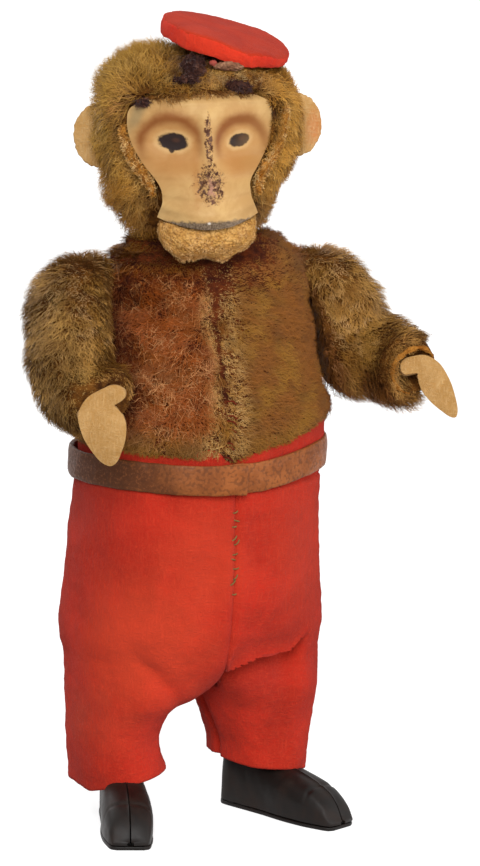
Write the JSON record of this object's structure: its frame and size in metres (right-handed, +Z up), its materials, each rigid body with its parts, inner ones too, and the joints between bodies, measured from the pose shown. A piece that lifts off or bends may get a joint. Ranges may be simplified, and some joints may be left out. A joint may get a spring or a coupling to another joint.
{
  "type": "clockwork dancing monkey toy",
  "caption": "Standing mohair monkey toy in felt trousers and cap, with a spring motor and key that shuffle its jointed tin legs, a turning head and swinging arms.",
  "frame": {"origin": "on the floor under the middle of the toy's box", "axes": "+Z up, the trousers and belt face -Y, the monkey's left is +X"},
  "size_m": [0.1018, 0.0784, 0.192],
  "materials": {
    "mohair": "olive-gold mohair pile, worn to orange-brown on the chest",
    "red_felt": "brushed red-orange felt",
    "flesh_felt": "thin pale felt",
    "chin_plush": "grainy bald plush",
    "stuffing": "wood wool",
    "face_paint": "flesh-coloured paint on pressed tin, chipped at the nose",
    "shoe_paint": "glossy black-brown paint on pressed tin",
    "belt": "glossy brown leatherette",
    "tinplate": "bare tinplate",
    "brass": "clock brass",
    "steel": "plain steel"
  },
  "bodies": {
    "torso": {"torso_cover": "mohair", "tin_body": "tinplate", "trouser_seat": "red_felt", "belt": "belt", "motor_front_plate": "brass", "motor_back_plate": "brass", "upper_right_pillar": "brass", "upper_left_pillar": "brass", "lower_right_pillar": "brass", "lower_left_pillar": "brass", "leg_bracket": "steel", "hip_axle": "steel", "motor_bridge": "steel", "mainspring": "steel", "right_shoulder_pin": "steel", "left_shoulder_pin": "steel", "neck_pin": "steel"},
    "right_leg_and_foot": {"right_leg": "steel", "right_trouser_leg": "red_felt", "right_shoe_inner_half": "shoe_paint", "right_shoe_outer_half": "shoe_paint", "right_sole": "shoe_paint"},
    "left_leg_and_foot": {"left_leg": "steel", "left_trouser_leg": "red_felt", "left_shoe_inner_half": "shoe_paint", "left_shoe_outer_half": "shoe_paint", "left_sole": "shoe_paint"},
    "head": {"head_cover": "mohair", "head_stuffing": "stuffing", "tin_face": "face_paint", "chin": "chin_plush", "right_ear": "flesh_felt", "left_ear": "flesh_felt", "cap_top": "red_felt", "cap_band": "red_felt"},
    "right_arm_and_hand": {"right_arm": "mohair", "right_hand": "flesh_felt"},
    "left_arm_and_hand": {"left_arm": "mohair", "left_hand": "flesh_felt"},
    "great_wheel_set": {"great_wheel": "brass", "click_spring": "steel"},
    "second_set": {"second_arbor": "steel", "first_pinion": "steel", "second_wheel": "brass"},
    "crown_set": {"crown_arbor": "steel", "second_pinion": "steel", "crown_wheel": "brass"},
    "crank_set": {"crankshaft": "steel", "crank_pinion": "steel", "right_crank": "steel", "left_crank": "steel"},
    "winding_set": {"winding_arbor": "steel", "ratchet_wheel": "steel", "winding_key": "steel"},
    "click_lever": {"click": "steel"}
  },
  "joints": [
    {"name": "right_leg_swing", "type": "hinge", "parent": "torso", "child": "right_leg_and_foot", "pos_m": [-0.00338, -0.00963, 0.058], "axis": [1, 0, 0], "range_deg": [-5.5, 5.5]},
    {"name": "left_leg_swing", "type": "hinge", "parent": "torso", "child": "left_leg_and_foot", "pos_m": [-0.00338, -0.00963, 0.058], "axis": [1, 0, 0], "range_deg": [-5.5, 5.5]},
    {"name": "head_turn", "type": "hinge", "parent": "torso", "child": "head", "pos_m": [-0.00338, -0.00763, 0.136], "axis": [-0.0785, 0, 0.9969], "range_deg": [-14, 46]},
    {"name": "right_arm_swing", "type": "hinge", "parent": "torso", "child": "right_arm_and_hand", "pos_m": [-0.03038, -0.00763, 0.128], "axis": [-0.9816, 0, 0.1908], "range_deg": [-5, 60]},
    {"name": "left_arm_swing", "type": "hinge", "parent": "torso", "child": "left_arm_and_hand", "pos_m": [0.02362, -0.00763, 0.128], "axis": [-0.9816, 0, -0.1908], "range_deg": [-8, 50]},
    {"name": "great_wheel_turn", "type": "hinge", "parent": "torso", "child": "great_wheel_set", "pos_m": [-0.00338, -0.00763, 0.11], "axis": [0, 1, 0], "continuous": true},
    {"name": "second_turn", "type": "hinge", "parent": "torso", "child": "second_set", "pos_m": [-0.00338, -0.00763, 0.0938], "axis": [0, 1, 0], "continuous": true},
    {"name": "crown_turn", "type": "hinge", "parent": "torso", "child": "crown_set", "pos_m": [-0.00338, -0.00763, 0.0818], "axis": [0, 1, 0], "continuous": true},
    {"name": "crank_turn", "type": "hinge", "parent": "torso", "child": "crank_set", "pos_m": [-0.00338, -0.00963, 0.0818], "axis": [1, 0, 0], "continuous": true},
    {"name": "winding_turn", "type": "hinge", "parent": "great_wheel_set", "child": "winding_set", "pos_m": [-0.00338, -0.00763, 0.11], "axis": [0, 1, 0], "continuous": true},
    {"name": "click_lift", "type": "hinge", "parent": "great_wheel_set", "child": "click_lever", "pos_m": [0.0028, -0.00763, 0.11735], "axis": [0, -1, 0], "range_deg": [0, 14], "stiffness_Nm_per_rad": 0.002, "springref_deg": -5.73, "deforming": ["click_spring"]}
  ],
  "couplings": [
    {"joint": "left_leg_swing", "follows": "right_leg_swing", "ratio": -1},
    {"joint": "second_turn", "follows": "great_wheel_turn", "ratio": -4.4},
    {"joint": "crown_turn", "follows": "great_wheel_turn", "ratio": 22},
    {"joint": "crank_turn", "follows": "great_wheel_turn", "ratio": -66}
  ]
}
